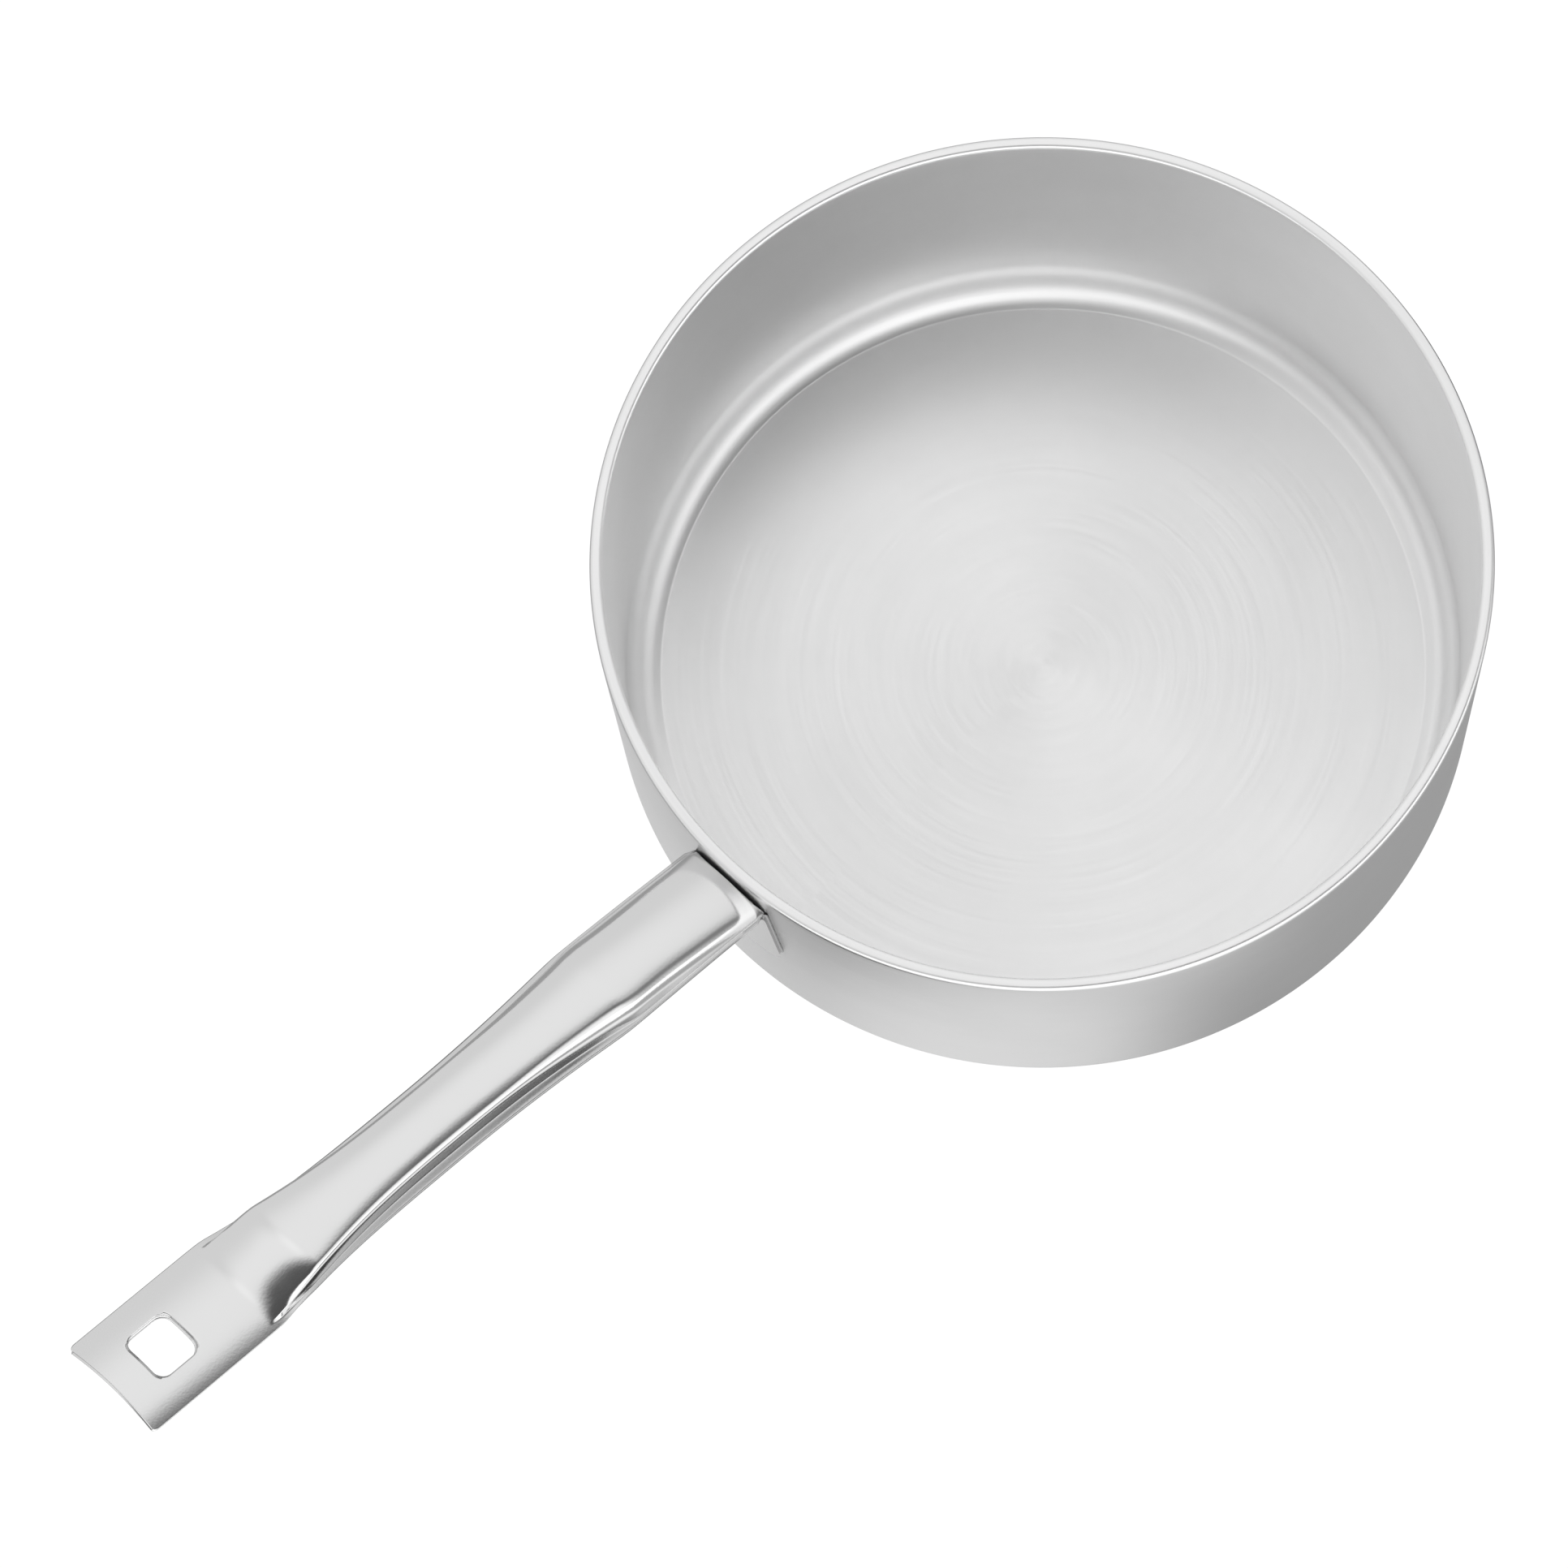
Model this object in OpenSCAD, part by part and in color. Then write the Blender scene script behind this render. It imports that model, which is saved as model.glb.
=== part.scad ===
// Shallow spun aluminium saucepan with a pressed stainless steel strip handle.
// Origin: centre of the flat base. +Z is up and the handle points along -X.

/* [Pan] */
// Outer diameter over the rim
pan_d = 240; // [200:1:300]
// Height from the base to the top of the rim
pan_h = 97; // [85:1:140]
// Thickness of the wall
wall_t = 3.5; // [2.5:0.1:4.5]
// Thickness of the flat base
base_t = 4.3; // [3.5:0.1:6]
// How much smaller the outer radius is at the base than at the rim
wall_draft = 1.4; // [0:0.1:4]
// Outer radius of the corner between wall and base
corner_r = 17; // [12:0.5:22]
// Radius on both edges of the rim
rim_edge_r = 1.2; // [0.5:0.1:1.5]

/* [Handle] */
// Length of the handle along its slope, from the wall to its end
handle_l = 227.5; // [190:1:270]
// Angle that the handle rises at, in degrees
handle_slope = 21.2; // [10:0.1:30]
// Distance from the top of the rim down to the top of the handle at the wall
handle_drop = 5.1; // [3:0.1:12]
// Thickness of the steel sheet
sheet_t = 1.5; // [1:0.1:2]
// Width of the end plate
plate_w = 30.4; // [26:0.1:36]
// Length of the end plate, with the hang hole
plate_l = 46; // [36:0.5:60]
// Height of the arch across the end plate
plate_arch_h = 2.6; // [1:0.1:3]
// Radius of the end plate's two corners
plate_corner_r = 2.2; // [1:0.1:5]
// Width over the lips at the waist of the grip
waist_w = 22.9; // [20:0.1:26]
// Distance of the waist from the wall
waist_at = 115; // [100:1:125]
// Width over the lips where the grip ends near the pan
knuckle_w = 28.2; // [26:0.1:33]
// Distance of that widest place from the wall
knuckle_at = 54; // [45:1:65]
// Width over the lips where the sheet reaches the wall
root_w = 27.2; // [24:0.1:32]
// Width of the raised crown at the foot of its flanks, at the waist
crown_w = 17.8; // [15:0.1:20]
// Height of the crown's shoulders above the lips along the grip
shoulder_h = 6.9; // [5:0.1:8]
// Height of the shoulders at the knuckle
knuckle_shoulder_h = 5.4; // [4:0.1:7]
// Height of the shoulders where the sheet reaches the wall
wall_shoulder_h = 1.8; // [1.2:0.1:4]
// Radius of the shoulders along the grip
shoulder_r = 2.4; // [1.5:0.1:4]
// Radius of the shoulders near the wall
root_shoulder_r = 5; // [3:0.1:7]
// How much the top of the crown bulges above its shoulders along the grip
crown_arch_h = 1.8; // [0.5:0.1:2.5]
// How much it bulges near the wall
root_arch_h = 2.4; // [0.5:0.1:3]
// Angle of the crown's flanks along the grip, in degrees
flank_angle = 86; // [72:1:88]
// Angle of the flanks near the wall, in degrees
root_flank_angle = 66; // [50:1:75]
// Width of the narrowest part of the flat lip
lip_w = 0.65; // [0.4:0.05:1.2]

/* [Hang hole] */
// Width of the rounded square hole
hang_hole_w = 13.8; // [10:0.1:16]
// Radius of the hole's corners
hang_hole_r = 3.2; // [1.5:0.1:5]
// Distance of the hole's centre from the end of the handle
hang_hole_at = 17.4; // [14:0.1:24]

/* [Flange] */
// Width of the flange at its top
flange_top_w = 25; // [22:0.1:28]
// Width of the flange above its lower corners
flange_low_w = 33; // [30:0.1:38]
// Height from the bottom of the flange to the top of the handle at the wall
flange_h = 42; // [36:0.5:50]
// Radius of the flange's lower corners
flange_corner_r = 6; // [3:0.5:9]

/* [Rivets] */
// Diameter of the shank
rivet_d = 5; // [4:0.1:6]
// Diameter of the flat domed head inside the pan
rivet_head_d = 10.5; // [9:0.1:12]
// Height of that head
rivet_head_h = 2; // [1.5:0.1:3]
// Diameter of the formed head on the flange
rivet_tail_d = 8.4; // [7:0.1:9]
// Height of the formed head
rivet_tail_h = 2.4; // [1.8:0.1:3]
// Distance between the two upper rivets
rivet_pitch = 13; // [11.5:0.1:15]
// Distance of the upper rivets below the top of the handle at the wall
rivet_upper_drop = 15.5; // [13:0.5:18]
// Distance of the lower rivet below the top of the handle at the wall
rivet_lower_drop = 30.5; // [28:0.5:34]

/* [Hidden] */

// Clearances, and the overrun of cutting shapes past a face
seat_gap = 0.1;
hole_gap = 0.05;
overrun = 1;

// Steps of the smooth shapes
arc_steps = 12;
arch_cols = 5;
round_cols = 5;
half_cols = arch_cols + round_cols + 2;
corner_rows = 5;
plate_rows = 4;
rise_rows = 12;
grip_rows = 8;
fade_rows = 10;
root_rows = 8;
bend_rows = 6;
flange_rows = 3;

// Pan
pan_r = pan_d / 2;
base_r = pan_r - wall_draft;
draft_angle = atan(wall_draft / pan_h);
rim_edge_limit_share = 0.45;
rim_r = min(rim_edge_r, wall_t * rim_edge_limit_share);

// Handle stations, measured from the wall along the slope
plate_from = handle_l - plate_l;
rise_lead = 4.5;
rise_from = plate_from + rise_lead;
rise_share = 0.22;
rise_to = plate_from - (plate_from - waist_at) * rise_share;
fade_share = 0.2;
fade_from = waist_at - (waist_at - knuckle_at) * fade_share;
foot_knuckle_share = 0.92;
foot_knuckle_at = knuckle_at * foot_knuckle_share;
bend_share = 1.6;
bend_from = sheet_t * bend_share;

// How the lips droop on their last stretch to the wall, and how sharply the sides turn
root_droop = 1.8;
blend_r = 0.35;

// The most of a flank that its round shoulder may take
shoulder_limit_share = 0.8;

// Powers of the curves: of the arch across the plate and of the sides on either side of the waist
plate_arch_power = 1.8;
plate_side_power = 3.5;
plate_foot_power = 2.6;
knuckle_side_power = 2;
knuckle_foot_power = 2.4;

// Height above the base where the top of the handle meets the wall
handle_top_z = pan_h - handle_drop;
flange_z = handle_top_z - flange_h;
line_z = handle_top_z - (wall_shoulder_h + root_arch_h - root_droop) / cos(handle_slope);

function lerp(a, b, t) = a + (b - a) * t;
function ease(t) = let (c = min(1, max(0, t))) c * c * (3 - 2 * c);
function soft_min(a, b) = (a + b - sqrt(pow(a - b, 2) + pow(blend_r, 2))) / 2;
function arc(centre, r, from, to) =
    [for (k = [0:arc_steps]) let (a = lerp(from, to, k / arc_steps)) centre + r * [cos(a), sin(a)]];

// Outer radius of the pan's wall at a height
function wall_r(z) = base_r + wall_draft * z / pan_h;

// How far a station lies from the waist towards the plate, or towards a knuckle
function to_plate(l) = (l - waist_at) / (plate_from - waist_at);
function to_knuckle(l, at) = max(0, waist_at - l) / (waist_at - at);

// Half the width over the lips at a distance from the wall
function edge_half(l) =
    l >= waist_at
    ? soft_min(plate_w / 2, lerp(waist_w, plate_w, pow(to_plate(l), plate_side_power)) / 2)
    : soft_min(lerp(root_w, knuckle_w, l / knuckle_at) / 2,
        lerp(waist_w, knuckle_w, pow(to_knuckle(l, knuckle_at), knuckle_side_power)) / 2);
function end_corner(l) =
    let (d = max(0, plate_corner_r - (handle_l - l)))
    plate_corner_r - sqrt(pow(plate_corner_r, 2) - pow(d, 2));

// Half the width of the crown at the foot of its flanks
function foot_half(l) =
    let (widest = edge_half(l) - lip_w)
    soft_min(widest, l >= waist_at
        ? lerp(crown_w / 2, plate_w / 2, pow(to_plate(l), plate_foot_power))
        : lerp(crown_w / 2, knuckle_w / 2 - lip_w, pow(to_knuckle(l, foot_knuckle_at), knuckle_foot_power)));

// The crown's shoulders and flanks change between the grip, the knuckle and the wall
function to_root(l) = ease((fade_from - l) / (fade_from - knuckle_at));
function shoulder_at(l) =
    l >= knuckle_at
    ? lerp(shoulder_h, knuckle_shoulder_h, to_root(l))
    : lerp(wall_shoulder_h, knuckle_shoulder_h, l / knuckle_at);
function flank_at(l) = lerp(flank_angle, root_flank_angle, to_root(l));
function shoulder_r_at(l) = lerp(shoulder_r, root_shoulder_r, to_root(l));
function arch_at(l) = lerp(crown_arch_h, root_arch_h, to_root(l));
function droop(l) = root_droop * pow(max(0, knuckle_at - l) / knuckle_at, 2);

// Half a section of the end plate, as [across, above the lips], from the middle to the edge
function plate_half(l) =
    [for (k = [0:half_cols])
        let (x = (edge_half(l) - end_corner(l)) * k / half_cols)
        [x, plate_arch_h * (1 - pow(x / edge_half(l), plate_arch_power))]];

// Half a section of the grip: arched top, round shoulder, straight flank and flat lip
function bezier(a, b, c, t) = (1 - t) * (1 - t) * a + 2 * t * (1 - t) * b + t * t * c;
function grip_half(l) =
    let (h = shoulder_at(l), foot = foot_half(l), flank = flank_at(l), arch_h = arch_at(l))
    let (shoulder = [foot - h / tan(flank), h])
    let (run = min(shoulder_r_at(l) * tan(flank / 2), shoulder_limit_share * h / sin(flank)))
    let (arch_end = shoulder[0] - run)
    let (arch_point = [arch_end, h + arch_h * (1 - pow(arch_end / shoulder[0], 2))])
    let (flank_point = shoulder + run * [cos(flank), -sin(flank)])
    concat(
        [for (k = [0:arch_cols - 1])
            let (x = arch_end * k / arch_cols)
            [x, h + arch_h * (1 - pow(x / shoulder[0], 2)) - droop(l)]],
        [for (k = [0:round_cols])
            bezier(arch_point, shoulder, flank_point, k / round_cols) - [0, droop(l)]],
        [[foot, -droop(l)], [edge_half(l), -droop(l)]]
    );

// The crown rises out of the plate by a blend of the two sections
function half_section(l) =
    let (rise = ease((rise_from - l) / (rise_from - rise_to)), plate = plate_half(l), grip = grip_half(l))
    [for (k = [0:half_cols]) lerp(plate[k], grip[k], rise)];
function section(l) =
    let (half = half_section(l))
    concat([for (k = [half_cols:-1:1]) [-half[k][0], half[k][1]]], half);

// A section placed in space, with the handle along +X
function placed_row(l) =
    [for (p = section(l))
        [pan_r + l * cos(handle_slope) - p[1] * sin(handle_slope),
         p[0],
         line_z + l * sin(handle_slope) + p[1] * cos(handle_slope)]];

// The back of the flange lies on the wall
function flange_half(z) =
    let (side = lerp(flange_top_w, flange_low_w, (handle_top_z - z) / (flange_h - flange_corner_r)) / 2)
    let (d = max(0, flange_z + flange_corner_r - z))
    min(flange_low_w / 2, side) - flange_corner_r + sqrt(max(0, pow(flange_corner_r, 2) - pow(d, 2)));
function on_wall(y, z) = [sqrt(pow(wall_r(z), 2) - pow(y, 2)) + seat_gap, y, z];

last_row = placed_row(bend_from);
columns = len(last_row);
column_shares = [for (p = last_row) p[1] / edge_half(bend_from)];

// Where each column's straight run would meet the wall, and where its bend ends
corner_row =
    [for (j = [0:columns - 1])
        let (y = column_shares[j] * flange_top_w / 2)
        let (x = on_wall(y, handle_top_z)[0])
        [x, y, last_row[j][2] - (last_row[j][0] - x) * tan(handle_slope)]];
bend_end_z =
    [for (j = [0:columns - 1])
        corner_row[j][2] - (last_row[j][0] - corner_row[j][0]) / cos(handle_slope)];
function flange_row_at(zs) =
    [for (j = [0:columns - 1]) on_wall(column_shares[j] * flange_half(zs[j]), zs[j])];
bend_end_row = flange_row_at(bend_end_z);
function bend_row(t) = [for (j = [0:columns - 1]) bezier(last_row[j], corner_row[j], bend_end_row[j], t)];

stations =
    concat(
        [for (k = [0:corner_rows - 1]) handle_l - plate_corner_r * (1 - cos(90 * k / corner_rows))],
        [for (k = [0:plate_rows - 1]) lerp(handle_l - plate_corner_r, rise_from, k / plate_rows)],
        [for (k = [0:rise_rows - 1]) lerp(rise_from, rise_to, k / rise_rows)],
        [for (k = [0:grip_rows - 1]) lerp(rise_to, fade_from, k / grip_rows)],
        [for (k = [0:fade_rows - 1]) lerp(fade_from, knuckle_at, k / fade_rows)],
        [for (k = [0:root_rows]) lerp(knuckle_at, bend_from, k / root_rows)]
    );

top_rows =
    concat(
        [for (l = stations) placed_row(l)],
        [for (k = [1:bend_rows]) bend_row(k / bend_rows)],
        [for (k = [1:flange_rows])
            flange_row_at([for (z = bend_end_z) lerp(z, flange_z + flange_corner_r, k / flange_rows)])],
        [for (k = [1:corner_rows])
            flange_row_at([for (z = bend_end_z) flange_z + flange_corner_r * (1 - sin(90 * k / corner_rows))])]
    );
row_count = len(top_rows);

// Unit normals of the grid's cells, on the side that faces up along the grip
function unit(v) = v / norm(v);
cell_normals =
    [for (i = [0:row_count - 2])
        [for (j = [0:columns - 2])
            unit(cross(
                top_rows[i][j + 1] - top_rows[i + 1][j],
                top_rows[i + 1][j + 1] - top_rows[i][j]
            ))]];
function cell(i, j) = cell_normals[min(row_count - 2, max(0, i))][min(columns - 2, max(0, j))];

// The lower face is one sheet thickness away, mitred where two cells meet
function vertex_offset(i, j) =
    let (m = (cell(i - 1, j - 1) + cell(i - 1, j) + cell(i, j - 1) + cell(i, j)) / 4)
    m / (m * m);
low_rows =
    [for (i = [0:row_count - 1])
        [for (j = [0:columns - 1]) top_rows[i][j] - sheet_t * vertex_offset(i, j)]];

function flatten(rows) = [for (row = rows) for (p = row) p];
function top_id(i, j) = i * columns + j;
function low_id(i, j) = row_count * columns + i * columns + j;
function quad(a, b, c, d) = [[a, b, c], [a, c, d]];

sheet_faces =
    concat(
        [for (i = [0:row_count - 2]) for (j = [0:columns - 2])
            each quad(top_id(i, j), top_id(i, j + 1), top_id(i + 1, j + 1), top_id(i + 1, j))],
        [for (i = [0:row_count - 2]) for (j = [0:columns - 2])
            each quad(low_id(i, j), low_id(i + 1, j), low_id(i + 1, j + 1), low_id(i, j + 1))],
        [for (j = [0:columns - 2])
            each quad(top_id(0, j), low_id(0, j), low_id(0, j + 1), top_id(0, j + 1))],
        [for (j = [0:columns - 2])
            each quad(top_id(row_count - 1, j + 1), low_id(row_count - 1, j + 1),
                low_id(row_count - 1, j), top_id(row_count - 1, j))],
        [for (i = [0:row_count - 2])
            each quad(top_id(i + 1, 0), low_id(i + 1, 0), low_id(i, 0), top_id(i, 0))],
        [for (i = [0:row_count - 2])
            each quad(top_id(i, columns - 1), low_id(i, columns - 1),
                low_id(i + 1, columns - 1), top_id(i + 1, columns - 1))]
    );

module pressed_sheet() {
    polyhedron(points = concat(flatten(top_rows), flatten(low_rows)), faces = sheet_faces);
}

// Rounded square, made of true arcs
module rounded_square(w, r) {
    union() {
        square([w, w - 2 * r], center = true);
        square([w - 2 * r, w], center = true);
        for (x = [-1, 1], y = [-1, 1])
            translate([x * (w / 2 - r), y * (w / 2 - r)])
                circle(r = r, $fn = 48);
    }
}

module hang_hole() {
    translate([pan_r, 0, line_z])
        rotate([0, -handle_slope, 0])
            translate([handle_l - hang_hole_at, 0, -plate_arch_h - sheet_t])
                linear_extrude(2 * (plate_arch_h + sheet_t) + plate_arch_h)
                    rounded_square(hang_hole_w, hang_hole_r);
}

// Puts a rivet's axis on +Z: the wall's outer face at the origin, +Z pointing away from the pan
module at_rivet(y, drop) {
    z = handle_top_z - drop;
    rotate([0, 0, asin(y / wall_r(z))])
        translate([wall_r(z), 0, z])
            rotate([0, 90, 0])
                children();
}

rivet_r = rivet_d / 2;
grip_l = seat_gap + sheet_t;

module rivet_hole(y, drop) {
    at_rivet(y, drop)
        translate([0, 0, -wall_t - overrun])
            cylinder(h = wall_t + grip_l + 2 * overrun, r = rivet_r + hole_gap, $fn = 48);
}

module rivet_holes() {
    rivet_hole(rivet_pitch / 2, rivet_upper_drop);
    rivet_hole(-rivet_pitch / 2, rivet_upper_drop);
    rivet_hole(0, rivet_lower_drop);
}

// The profile of a domed head: a flat disc with an arc down to its rim
function dome_r(r, h) = (r * r + h * h) / (2 * h);
module dome(r, h) {
    rotate_extrude($fn = 96)
        intersection() {
            translate([0, h - dome_r(r, h)])
                circle(r = dome_r(r, h), $fn = 192);
            square([r, h]);
        }
}

// The head inside stands off the hollow wall by the wall's own curve across the head
module rivet(y, drop) {
    head_seat = wall_t + seat_gap + pow(rivet_head_d / 2, 2) / pan_d;
    at_rivet(y, drop)
        union() {
            translate([0, 0, -head_seat])
                cylinder(h = head_seat + grip_l + seat_gap + rivet_tail_h / 2, r = rivet_r, $fn = 48);
            translate([0, 0, -head_seat])
                mirror([0, 0, 1])
                    dome(rivet_head_d / 2, rivet_head_h);
            translate([0, 0, grip_l + seat_gap])
                dome(rivet_tail_d / 2, rivet_tail_h);
        }
}

// Half profile of the pan: flat base, rounded corner, drafted wall and rounded rim
module pan_profile() {
    inner_r = corner_r - wall_t;
    corner_c = [wall_r(corner_r) - corner_r / cos(draft_angle), corner_r];
    crease_angle = -asin((corner_r - base_t) / inner_r);
    rim_z = pan_h - rim_r;
    rim_out = [wall_r(rim_z) - rim_r / cos(draft_angle), rim_z];
    rim_in = [wall_r(rim_z) - (wall_t - rim_r) / cos(draft_angle), rim_z];
    polygon(concat(
        [[0, 0]],
        arc(corner_c, corner_r, -90, -draft_angle),
        arc(rim_out, rim_r, -draft_angle, 90),
        arc(rim_in, rim_r, 90, 180 - draft_angle),
        arc(corner_c, inner_r, -draft_angle, crease_angle),
        [[0, base_t]]
    ));
}

module pan_body() {
    color("gainsboro")
        rotate([0, 0, 180])
            difference() {
                rotate_extrude($fn = 180)
                    pan_profile();
                rivet_holes();
            }
}

module handle() {
    color("silver")
        rotate([0, 0, 180])
            difference() {
                pressed_sheet();
                hang_hole();
                rivet_holes();
            }
}

module rivet_upper_left() {
    color("lightgray")
        rotate([0, 0, 180])
            rivet(rivet_pitch / 2, rivet_upper_drop);
}

module rivet_upper_right() {
    color("lightgray")
        rotate([0, 0, 180])
            rivet(-rivet_pitch / 2, rivet_upper_drop);
}

module rivet_lower() {
    color("lightgray")
        rotate([0, 0, 180])
            rivet(0, rivet_lower_drop);
}

pan_body();
handle();
rivet_upper_left();
rivet_upper_right();
rivet_lower();
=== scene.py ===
"""Spun aluminium saucepan with a pressed stainless handle, on a pale floor in soft studio light.

Everything is in metres, in the part's own frame. The base stands at the origin, and the handle points
along -X.
"""

from math import asin, atan, cos, pi, radians, sin, sqrt, tan

import bmesh
import bpy
import numpy as np
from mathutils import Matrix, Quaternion, Vector

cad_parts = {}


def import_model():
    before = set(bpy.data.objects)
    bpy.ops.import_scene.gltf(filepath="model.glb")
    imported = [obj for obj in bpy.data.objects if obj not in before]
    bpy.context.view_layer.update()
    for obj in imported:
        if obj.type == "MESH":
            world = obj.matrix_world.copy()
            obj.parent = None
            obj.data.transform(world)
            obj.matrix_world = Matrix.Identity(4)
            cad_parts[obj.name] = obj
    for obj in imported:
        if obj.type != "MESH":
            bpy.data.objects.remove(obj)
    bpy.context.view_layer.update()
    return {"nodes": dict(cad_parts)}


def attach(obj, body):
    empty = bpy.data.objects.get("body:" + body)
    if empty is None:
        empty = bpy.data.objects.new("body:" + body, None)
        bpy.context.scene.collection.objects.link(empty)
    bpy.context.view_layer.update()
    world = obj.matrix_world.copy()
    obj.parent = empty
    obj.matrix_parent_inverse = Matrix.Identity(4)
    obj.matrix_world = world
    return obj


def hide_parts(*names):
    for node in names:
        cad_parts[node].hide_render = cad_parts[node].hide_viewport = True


MM = 0.001
TINY = 1e-9


# Small helpers


def lerp(a, b, t):
    return a + (b - a) * t


def ease(t):
    """A smooth step from 0 to 1, held at both ends."""
    t = np.clip(t, 0, 1)
    return t * t * (3 - 2 * t)


def soft_min(a, b, blend):
    return (a + b - sqrt((a - b) ** 2 + blend**2)) / 2


def bezier(a, b, c, t):
    return (1 - t) ** 2 * a + 2 * t * (1 - t) * b + t**2 * c


def unit(vectors):
    return vectors / np.linalg.norm(vectors, axis=-1, keepdims=True)


def stretch(start, end, steps):
    """Evenly spaced values from one to another, without the first of them."""
    return list(np.linspace(start, end, steps + 1))[1:]


# Meshes


def new_object(name, vertices, faces, material):
    mesh = bpy.data.meshes.new(name)
    mesh.from_pydata([tuple(v) for v in vertices], [], faces)
    mesh.validate()
    mesh.shade_smooth()
    mesh.materials.append(material)
    piece = bpy.data.objects.new(name, mesh)
    bpy.context.scene.collection.objects.link(piece)
    return piece


def band_faces(rings, way=1):
    """Faces between one closed ring of points and the next. A way of -1 turns them over."""
    faces = []
    for a, b in zip(rings, rings[1:]):
        for k in range(len(a)):
            n = (k + 1) % len(a)
            faces.append((a[k], a[n], b[n], b[k])[::way])
    return faces


def drop_loose_points(mesh):
    """Removes the points that no face uses."""
    shape = bmesh.new()
    shape.from_mesh(mesh)
    bmesh.ops.delete(shape, geom=[v for v in shape.verts if not v.link_faces], context="VERTS")
    shape.to_mesh(mesh)
    shape.free()


# Pan

PAN_R = 120 * MM
PAN_H = 97 * MM
WALL_T = 3.5 * MM
BASE_T = 4.3 * MM
DRAFT = 1.4 * MM
CORNER_R = 17 * MM
RIM_EDGE_R = 1.2 * MM
CREASE_R = 0.35 * MM
BASE_R = PAN_R - DRAFT
DRAFT_ANGLE = atan(DRAFT / PAN_H)

TURN_STEPS = 360
BASE_STEPS = 12
CORNER_STEPS = 32
WALL_STEPS = 24
RIM_STEPS = 10
CREASE_STEPS = 6
FLOOR_STEPS = 40


def wall_r(z):
    """Outer radius of the wall at a height."""
    return BASE_R + DRAFT * z / PAN_H


def arc(centre, radius, start, end, steps):
    return [
        (centre[0] + radius * cos(a), centre[1] + radius * sin(a))
        for a in np.linspace(start, end, steps + 1)
    ]


def run(start, end, steps):
    """Points between two places, without the first and the last."""
    return [tuple(lerp(np.array(start), np.array(end), k / steps)) for k in range(1, steps)]


def pan_profile():
    """Half profile from the middle of the base up outside, over the rim and down inside to the middle."""
    inner_r = CORNER_R - WALL_T
    corner = (wall_r(CORNER_R) - CORNER_R / cos(DRAFT_ANGLE), CORNER_R)
    crease = -asin((CORNER_R - BASE_T) / inner_r)
    rim_z = PAN_H - RIM_EDGE_R
    rim_out = (wall_r(rim_z) - RIM_EDGE_R / cos(DRAFT_ANGLE), rim_z)
    rim_in = (wall_r(rim_z) - (WALL_T - RIM_EDGE_R) / cos(DRAFT_ANGLE), rim_z)
    outer_corner = arc(corner, CORNER_R, -pi / 2, -DRAFT_ANGLE, CORNER_STEPS)
    rim = arc(rim_out, RIM_EDGE_R, -DRAFT_ANGLE, pi / 2, RIM_STEPS)
    rim += arc(rim_in, RIM_EDGE_R, pi / 2, pi - DRAFT_ANGLE, RIM_STEPS)
    fillet = arc(corner, inner_r, -DRAFT_ANGLE, crease, CORNER_STEPS)
    foot = np.array(fillet[-1])
    before = foot + np.array([-sin(crease), cos(crease)]) * CREASE_R
    after = foot - np.array([CREASE_R, 0])
    soft_crease = [tuple(bezier(before, foot, after, t)) for t in np.linspace(0, 1, CREASE_STEPS + 1)]
    fillet = [p for p in fillet if p[1] > before[1]]
    return (
        [(0.0, 0.0)]
        + run((0, 0), outer_corner[0], BASE_STEPS)
        + outer_corner
        + run(outer_corner[-1], rim[0], WALL_STEPS)
        + rim
        + run(rim[-1], fillet[0], WALL_STEPS)
        + fillet
        + soft_crease
        + run(after, (0, BASE_T), FLOOR_STEPS)
        + [(0.0, BASE_T)]
    )


def make_pan(material):
    """Turns the half profile, which starts and ends on the axis, round Z."""
    profile = pan_profile()
    inner = profile[1:-1]
    angles = np.linspace(0, 2 * pi, TURN_STEPS, endpoint=False)
    vertices = [(r * cos(a), r * sin(a), z) for r, z in inner for a in angles]
    under, top = len(vertices), len(vertices) + 1
    vertices += [(0, 0, profile[0][1]), (0, 0, profile[-1][1])]
    rings = [[i * TURN_STEPS + k for k in range(TURN_STEPS)] for i in range(len(inner))]
    faces = band_faces(rings)
    for k in range(TURN_STEPS):
        n = (k + 1) % TURN_STEPS
        faces.append((under, rings[0][n], rings[0][k]))
        faces.append((top, rings[-1][k], rings[-1][n]))
    return new_object("pan_bowl", vertices, faces, material)


# Handle: lengths l run from the wall along the slope, and heights stand up from the line of the lips

HANDLE_L = 227.5 * MM
SLOPE = radians(21.2)
HANDLE_DROP = 5.1 * MM
SHEET_T = 1.5 * MM
EDGE_R = 0.5 * MM
BLEND = 0.35 * MM

PLATE_W = 30.4 * MM
PLATE_L = 46 * MM
PLATE_ARCH = 2.6 * MM
PLATE_CORNER_R = 2.2 * MM
PLATE_FROM = HANDLE_L - PLATE_L
PLATE_ARCH_POWER = 1.8
PLATE_SIDE_POWER = 3.5
PLATE_FOOT_POWER = 2.6

HOLE_W = 13.8 * MM
HOLE_R = 3.2 * MM
HOLE_AT = 17.4 * MM
HOLE_MIDDLE = HANDLE_L - HOLE_AT
# How far from its middle the hole still bends the grid, as a share of its half width
HOLE_REACH_SHARE = 1.9

WAIST_W = 22.9 * MM
WAIST_AT = 115 * MM
KNUCKLE_W = 28.2 * MM
KNUCKLE_AT = 54 * MM
KNUCKLE_SIDE_POWER = 2
KNUCKLE_FOOT_POWER = 2.4
ROOT_W = 27.2 * MM
ROOT_DROOP = 1.8 * MM

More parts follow.
